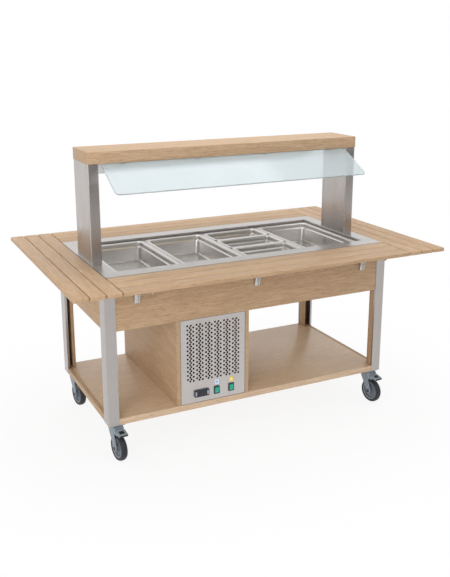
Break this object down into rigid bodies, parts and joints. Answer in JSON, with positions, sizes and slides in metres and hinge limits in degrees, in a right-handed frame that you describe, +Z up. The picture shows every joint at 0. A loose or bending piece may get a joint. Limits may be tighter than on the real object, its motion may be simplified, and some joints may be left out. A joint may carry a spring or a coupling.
{
  "type": "mobile salad bar",
  "caption": "Mobile chilled salad bar: oak and steel trolley with pan well, fold-down side flaps, glass-fronted canopy, plug-in cooling unit and braked swivel casters.",
  "frame": {"origin": "on the floor, under the middle of the worktop", "axes": "+X to the right along the length, +Y to the rear, +Z up; the control panel faces -Y"},
  "size_m": [1.919, 1.203, 1.408],
  "materials": {
    "oak": "satin lacquered oak veneer",
    "stainless": "brushed stainless steel",
    "foam": "matte closed-cell foam",
    "frame_steel": "satin paint",
    "galvanised": "zinc plated",
    "black_enamel": "semi-gloss black",
    "condenser_black": "matte black",
    "black_plastic": "fine-textured matte",
    "copper": "drawn copper tube",
    "key_grey": "matte",
    "switch_green": "translucent gloss",
    "tile_white": "printed gloss",
    "white_enamel": "white enamel",
    "lens": "frosted diffuser",
    "glass": "clear toughened glass",
    "caster_grey": "fine-textured matte",
    "tyre": "matte rubber on a grey nylon hub"
  },
  "bodies": {
    "trolley": {"stainless_top": "stainless", "well_tank": "stainless", "tank_insulation": "foam", "divider_bars": "stainless", "top_frame": "frame_steel", "aprons": "oak", "legs": "stainless", "leg_cores": "oak", "shelf": "oak", "compartment_sides": "oak", "grille_panel": "stainless", "rear_vent_panel": "stainless", "unit_tray": "galvanised", "compressor": "black_enamel", "condenser": "condenser_black", "fan_shroud": "black_plastic", "fan_motor": "frame_steel", "pipework": "copper", "cable_gland": "black_plastic", "control_frames": "black_plastic", "symbol_tiles": "tile_white", "canopy": "oak", "light_housing": "white_enamel", "light_lens": "lens", "post_left": "stainless", "post_right": "stainless", "glass_front": "glass", "glass_rear": "glass", "glass_clamps": "stainless", "flap_brackets": "stainless", "caster_plates": "galvanised"},
    "flap_front": {"flap_front": "oak", "arms_front": "stainless"},
    "flap_rear": {"flap_rear": "oak", "arms_rear": "stainless"},
    "flap_left": {"flap_left": "oak", "arms_left": "stainless"},
    "flap_right": {"flap_right": "oak", "arms_right": "stainless"},
    "pan_left": {"pan_left": "stainless"},
    "pan_centre": {"pan_centre": "stainless"},
    "pan_right": {"pan_right": "stainless"},
    "pan_third_front": {"pan_third_front": "stainless"},
    "pan_third_middle": {"pan_third_middle": "stainless"},
    "pan_third_rear": {"pan_third_rear": "stainless"},
    "condenser_fan": {"condenser_fan": "black_plastic"},
    "key_left": {"key_left": "key_grey"},
    "key_right": {"key_right": "key_grey"},
    "rocker_cooling": {"rocker_cooling": "switch_green"},
    "rocker_light": {"rocker_light": "switch_green"},
    "caster_front_left": {"fork_front_left": "caster_grey"},
    "wheel_front_left": {"wheel_front_left": "tyre"},
    "caster_front_right": {"fork_front_right": "caster_grey"},
    "wheel_front_right": {"wheel_front_right": "tyre"},
    "caster_rear_left": {"fork_rear_left": "caster_grey"},
    "wheel_rear_left": {"wheel_rear_left": "tyre"},
    "caster_rear_right": {"fork_rear_right": "caster_grey"},
    "wheel_rear_right": {"wheel_rear_right": "tyre"},
    "pedal_front_left": {"pedal_front_left": "caster_grey"},
    "pedal_front_right": {"pedal_front_right": "caster_grey"}
  },
  "joints": [
    {"name": "flap_front_fold", "type": "hinge", "parent": "trolley", "child": "flap_front", "pos_m": [0, -0.39, 0.842], "axis": [1, 0, 0], "range_deg": [0, 90]},
    {"name": "flap_rear_fold", "type": "hinge", "parent": "trolley", "child": "flap_rear", "pos_m": [0, 0.39, 0.842], "axis": [-1, 0, 0], "range_deg": [0, 90]},
    {"name": "flap_left_fold", "type": "hinge", "parent": "trolley", "child": "flap_left", "pos_m": [-0.774, 0, 0.842], "axis": [0, -1, 0], "range_deg": [0, 90]},
    {"name": "flap_right_fold", "type": "hinge", "parent": "trolley", "child": "flap_right", "pos_m": [0.774, 0, 0.842], "axis": [0, 1, 0], "range_deg": [0, 90]},
    {"name": "pan_left_lift", "type": "slide", "parent": "trolley", "child": "pan_left", "axis": [0, 0, 1], "range_m": [0, 0.16]},
    {"name": "pan_centre_lift", "type": "slide", "parent": "trolley", "child": "pan_centre", "axis": [0, 0, 1], "range_m": [0, 0.16]},
    {"name": "pan_right_lift", "type": "slide", "parent": "trolley", "child": "pan_right", "axis": [0, 0, 1], "range_m": [0, 0.16]},
    {"name": "pan_third_front_lift", "type": "slide", "parent": "trolley", "child": "pan_third_front", "axis": [0, 0, 1], "range_m": [0, 0.16]},
    {"name": "pan_third_middle_lift", "type": "slide", "parent": "trolley", "child": "pan_third_middle", "axis": [0, 0, 1], "range_m": [0, 0.16]},
    {"name": "pan_third_rear_lift", "type": "slide", "parent": "trolley", "child": "pan_third_rear", "axis": [0, 0, 1], "range_m": [0, 0.16]},
    {"name": "fan_spin", "type": "hinge", "parent": "trolley", "child": "condenser_fan", "pos_m": [-0.2285, -0.278, 0.412], "axis": [0, 1, 0], "continuous": true},
    {"name": "key_left_press", "type": "slide", "parent": "trolley", "child": "key_left", "axis": [0, 1, 0], "range_m": [0, 0.001], "stiffness_N_per_m": 800, "springref_m": -0.001},
    {"name": "key_right_press", "type": "slide", "parent": "trolley", "child": "key_right", "axis": [0, 1, 0], "range_m": [0, 0.001], "stiffness_N_per_m": 800, "springref_m": -0.001},
    {"name": "rocker_cooling_toggle", "type": "hinge", "parent": "trolley", "child": "rocker_cooling", "pos_m": [-0.2115, -0.37, 0.255], "axis": [1, 0, 0], "range_deg": [-14, 0]},
    {"name": "rocker_light_toggle", "type": "hinge", "parent": "trolley", "child": "rocker_light", "pos_m": [-0.1335, -0.37, 0.255], "axis": [1, 0, 0], "range_deg": [-14, 0]},
    {"name": "swivel_front_left", "type": "hinge", "parent": "trolley", "child": "caster_front_left", "pos_m": [-0.718, -0.33, 0.1627], "axis": [0, 0, 1], "continuous": true},
    {"name": "roll_front_left", "type": "hinge", "parent": "caster_front_left", "child": "wheel_front_left", "pos_m": [-0.71337, -0.36772, 0.0625], "axis": [0.9925, 0.1219, 0], "continuous": true},
    {"name": "swivel_front_right", "type": "hinge", "parent": "trolley", "child": "caster_front_right", "pos_m": [0.718, -0.33, 0.1627], "axis": [0, 0, 1], "continuous": true},
    {"name": "roll_front_right", "type": "hinge", "parent": "caster_front_right", "child": "wheel_front_right", "pos_m": [0.72263, -0.36772, 0.0625], "axis": [0.9925, 0.1219, 0], "continuous": true},
    {"name": "swivel_rear_left", "type": "hinge", "parent": "trolley", "child": "caster_rear_left", "pos_m": [-0.718, 0.33, 0.1627], "axis": [0, 0, 1], "continuous": true},
    {"name": "roll_rear_left", "type": "hinge", "parent": "caster_rear_left", "child": "wheel_rear_left", "pos_m": [-0.71337, 0.29228, 0.0625], "axis": [0.9925, 0.1219, 0], "continuous": true},
    {"name": "swivel_rear_right", "type": "hinge", "parent": "trolley", "child": "caster_rear_right", "pos_m": [0.718, 0.33, 0.1627], "axis": [0, 0, 1], "continuous": true},
    {"name": "roll_rear_right", "type": "hinge", "parent": "caster_rear_right", "child": "wheel_rear_right", "pos_m": [0.72263, 0.29228, 0.0625], "axis": [0.9925, 0.1219, 0], "continuous": true},
    {"name": "brake_front_left", "type": "hinge", "parent": "caster_front_left", "child": "pedal_front_left", "pos_m": [-0.71361, -0.36573, 0.1517], "axis": [0.9925, 0.1219, 0], "range_deg": [0, 12]},
    {"name": "brake_front_right", "type": "hinge", "parent": "caster_front_right", "child": "pedal_front_right", "pos_m": [0.72239, -0.36573, 0.1517], "axis": [0.9925, 0.1219, 0], "range_deg": [0, 12]}
  ]
}
